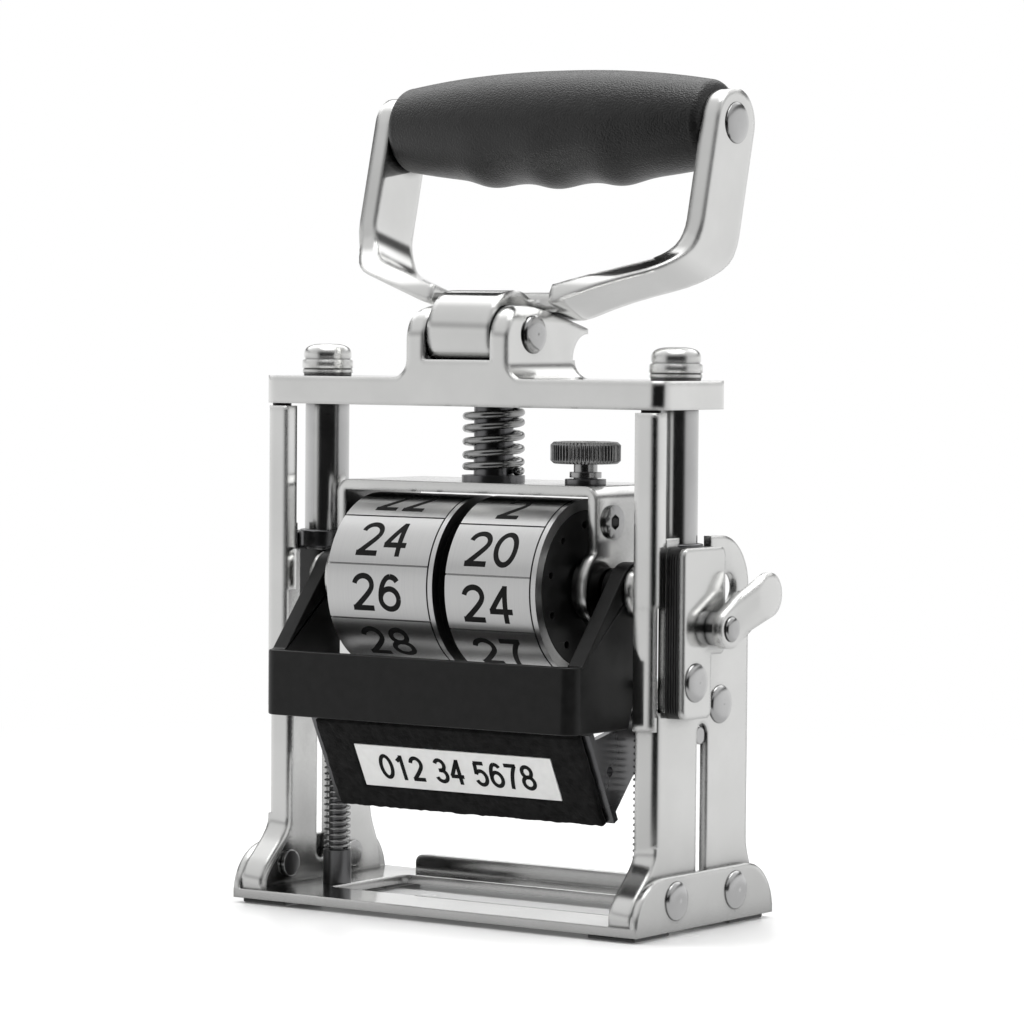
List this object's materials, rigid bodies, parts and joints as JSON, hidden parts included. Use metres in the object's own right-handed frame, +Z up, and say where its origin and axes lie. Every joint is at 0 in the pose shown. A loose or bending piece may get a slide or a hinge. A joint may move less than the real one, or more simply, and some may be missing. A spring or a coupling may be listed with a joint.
{
  "type": "dating and numbering stamp",
  "caption": "Hand press stamp with number wheels, a folding grip handle, a sprung sliding yoke, a swinging ink tray and a print plate that tilts flat onto the paper.",
  "frame": {"origin": "on the table, midway between the guide rods, where the line of the press stroke meets the paper", "axes": "+X to the lever side, +Y to the back, +Z up along the press stroke"},
  "size_m": [0.1216, 0.0673, 0.1875],
  "materials": {
    "plated": "polished nickel plate",
    "steel": "bright steel",
    "dark_steel": "dark oiled steel",
    "drum": "turned aluminium",
    "black_plastic": "satin",
    "rubber": "fine grained",
    "felt": "felt",
    "print": "matt white"
  },
  "bodies": {
    "frame": {"base_plate": "plated", "rubber_feet": "rubber", "side_frame_left": "plated", "side_frame_right": "plated", "base_rivets": "steel", "guide_stack_left": "dark_steel", "guide_stack_right": "dark_steel", "guide_cover_left": "plated", "guide_cover_right": "plated", "guide_rivets": "steel", "rod_bushes": "dark_steel", "spring_posts": "steel", "return_spring_left": "dark_steel", "return_spring_right": "dark_steel", "lever_pivot": "steel"},
    "yoke": {"crossbar": "plated", "slide_rail_left": "plated", "slide_rail_right": "plated", "guide_rod_left": "steel", "guide_rod_right": "steel", "cap_nuts": "plated", "rod_washers": "plated", "clevis_pin": "steel", "plunger": "dark_steel", "plunger_spring": "dark_steel", "carriage": "plated", "wheel_axle": "steel", "axle_spacers": "steel", "detent_pins": "steel", "pivot_screws": "plated", "cheek_screws": "dark_steel", "slot_pins": "steel", "spring_lugs": "steel", "knob_washer": "dark_steel"},
    "handle": {"handle_strap": "plated", "grip": "rubber", "grip_rod": "steel"},
    "wheel_left": {"left_drum": "drum", "left_hub": "black_plastic"},
    "wheel_right": {"right_drum": "drum", "right_hub": "black_plastic"},
    "knob": {"lock_knob": "dark_steel"},
    "bail": {"bail_tray": "black_plastic", "ink_pad": "felt"},
    "die": {"die_holder": "steel", "die_felt": "felt", "print_plate": "print"},
    "lever": {"lock_lever": "plated"}
  },
  "joints": [
    {"name": "press_slide", "type": "slide", "parent": "frame", "child": "yoke", "axis": [0, 0, -1], "range_m": [0, 0.0213], "stiffness_N_per_m": 600, "springref_m": -0.03, "deforming": ["return_spring_left", "return_spring_right"]},
    {"name": "handle_fold", "type": "hinge", "parent": "yoke", "child": "handle", "pos_m": [0, -0.0053, 0.1282], "axis": [1, 0, 0], "range_deg": [0, 115]},
    {"name": "left_wheel_spin", "type": "hinge", "parent": "yoke", "child": "wheel_left", "pos_m": [-0.0131, -0.006, 0.0732], "axis": [1, 0, 0], "continuous": true},
    {"name": "right_wheel_spin", "type": "hinge", "parent": "yoke", "child": "wheel_right", "pos_m": [0.0165, -0.006, 0.0732], "axis": [1, 0, 0], "continuous": true},
    {"name": "knob_turn", "type": "hinge", "parent": "yoke", "child": "knob", "pos_m": [0.0266, -0.004, 0.1002], "axis": [0, 0, 1], "continuous": true},
    {"name": "bail_swing", "type": "hinge", "parent": "yoke", "child": "bail", "pos_m": [0, -0.006, 0.0732], "axis": [1, 0, 0], "range_deg": [-70, 0]},
    {"name": "die_tilt", "type": "hinge", "parent": "yoke", "child": "die", "pos_m": [0, 0.0035, 0.042], "axis": [1, 0, 0], "range_deg": [0, 63.1]},
    {"name": "lever_turn", "type": "hinge", "parent": "frame", "child": "lever", "pos_m": [0.0604, 0.0004, 0.0656], "axis": [1, 0, 0], "range_deg": [-60, 30]}
  ],
  "couplings": [
    {"joint": "die_tilt", "follows": "press_slide", "rad_per_m": 51.622}
  ]
}
